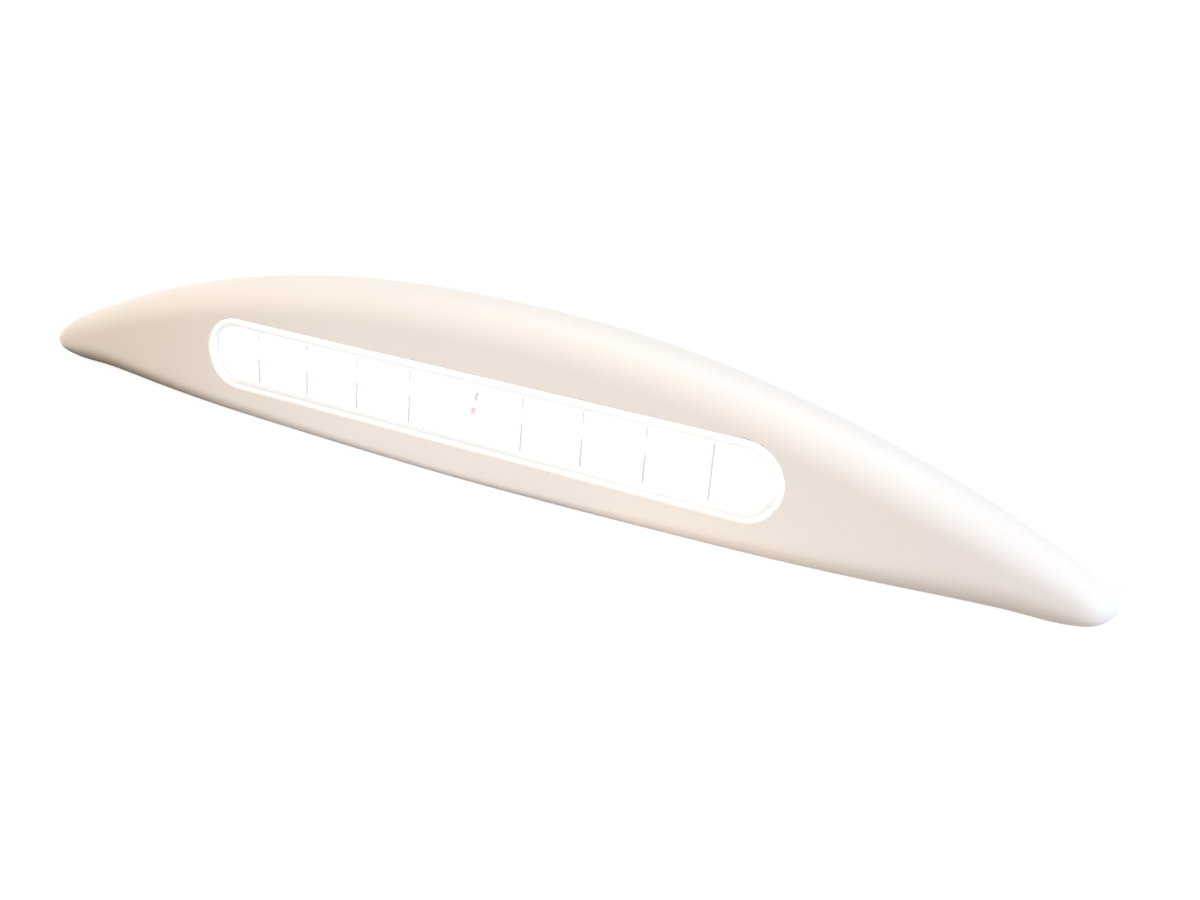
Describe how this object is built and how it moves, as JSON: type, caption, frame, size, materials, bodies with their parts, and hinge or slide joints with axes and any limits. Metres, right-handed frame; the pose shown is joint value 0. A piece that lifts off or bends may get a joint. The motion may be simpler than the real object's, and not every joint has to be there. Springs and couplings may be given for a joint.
{
  "type": "door courtesy light",
  "caption": "Long white arched courtesy light with rounded noses and a lit obround window divided into cells, made to be screwed to a wall panel through its back plate.",
  "frame": {"origin": "centre of the bounding box at the mounting face", "axes": "+X along the lamp, +Z out of the mounting face towards the crest, -Y the way the window faces"},
  "size_m": [0.3, 0.0438, 0.043],
  "materials": {
    "housing_white": "gloss moulded, warm white",
    "clear_cover": "clear polished",
    "grey_silicone": "matt",
    "reflector_white": "satin white",
    "board_white": "white solder mask",
    "component_black": "moulded matt",
    "led_light": "lit",
    "screw_steel": "zinc plated",
    "plate_white": "fine texture",
    "black_foam": "closed-cell foam",
    "black_rubber": "satin",
    "block_nylon": "natural nylon",
    "lead_red": "satin insulation",
    "lead_black": "satin insulation"
  },
  "bodies": {
    "root": {"housing": "housing_white", "lens": "clear_cover", "lens_gasket": "grey_silicone", "reflector": "reflector_white", "pcb": "board_white", "diode": "component_black", "led_1": "led_light", "led_2": "led_light", "led_3": "led_light", "led_4": "led_light", "led_5": "led_light", "led_6": "led_light", "led_7": "led_light", "led_8": "led_light", "led_9": "led_light", "led_10": "led_light", "resistor_1": "component_black", "resistor_2": "component_black", "resistor_3": "component_black", "resistor_4": "component_black", "resistor_5": "component_black", "module_screw_1": "screw_steel", "module_screw_2": "screw_steel", "module_screw_3": "screw_steel", "module_screw_4": "screw_steel", "back_plate": "plate_white", "wall_gasket": "black_foam", "grommet": "black_rubber", "terminal_block": "block_nylon", "clamp_screw_1": "screw_steel", "clamp_screw_2": "screw_steel", "red_lead": "lead_red", "black_lead": "lead_black"}
  },
  "joints": []
}
